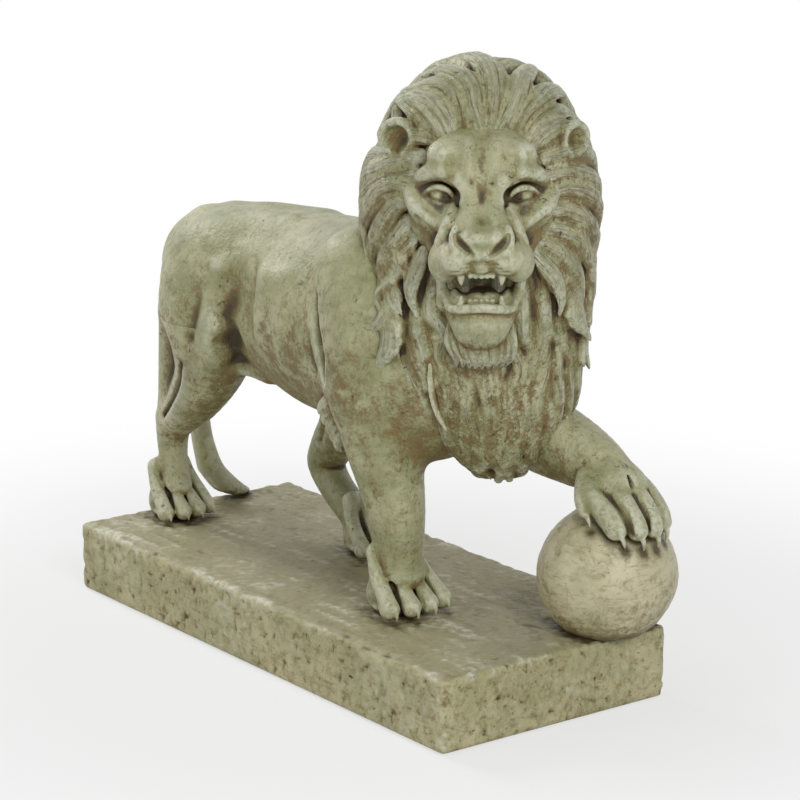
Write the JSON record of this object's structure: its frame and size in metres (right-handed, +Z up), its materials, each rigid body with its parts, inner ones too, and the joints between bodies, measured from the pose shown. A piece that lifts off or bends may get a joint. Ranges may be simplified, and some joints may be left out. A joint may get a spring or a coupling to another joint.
{
  "type": "guardian lion statue",
  "caption": "Striding guardian lion in patinated cast stone, head turned to its right, left forepaw raised on a ball, on a rectangular slab plinth.",
  "frame": {"origin": "centre of the plinth's underside", "axes": "+X the way the lion strides, along the plinth's length; +Y the lion's left side; +Z up"},
  "size_m": [0.7599, 0.3205, 0.695],
  "materials": {
    "lion_stone": "cast stone, pale grey-green with a brown wash in the hollows, sealed satin",
    "ball_stone": "cast stone, smooth cream-green, sealed satin",
    "plinth_stone": "cast stone, stippled sides and brushed top",
    "dowel_steel": "plain steel bar"
  },
  "bodies": {
    "root": {"plinth": "plinth_stone", "ball": "ball_stone", "torso": "lion_stone", "right_foreleg": "lion_stone", "left_foreleg": "lion_stone", "right_hind_leg": "lion_stone", "left_hind_leg": "lion_stone", "tail": "lion_stone", "mane": "lion_stone", "chest_ruff": "lion_stone", "head": "lion_stone", "foot_dowels": "dowel_steel", "ball_dowels": "dowel_steel", "leg_dowels": "dowel_steel", "neck_dowels": "dowel_steel", "face_dowels": "dowel_steel", "ruff_dowel": "dowel_steel", "tail_dowel": "dowel_steel"}
  },
  "joints": []
}
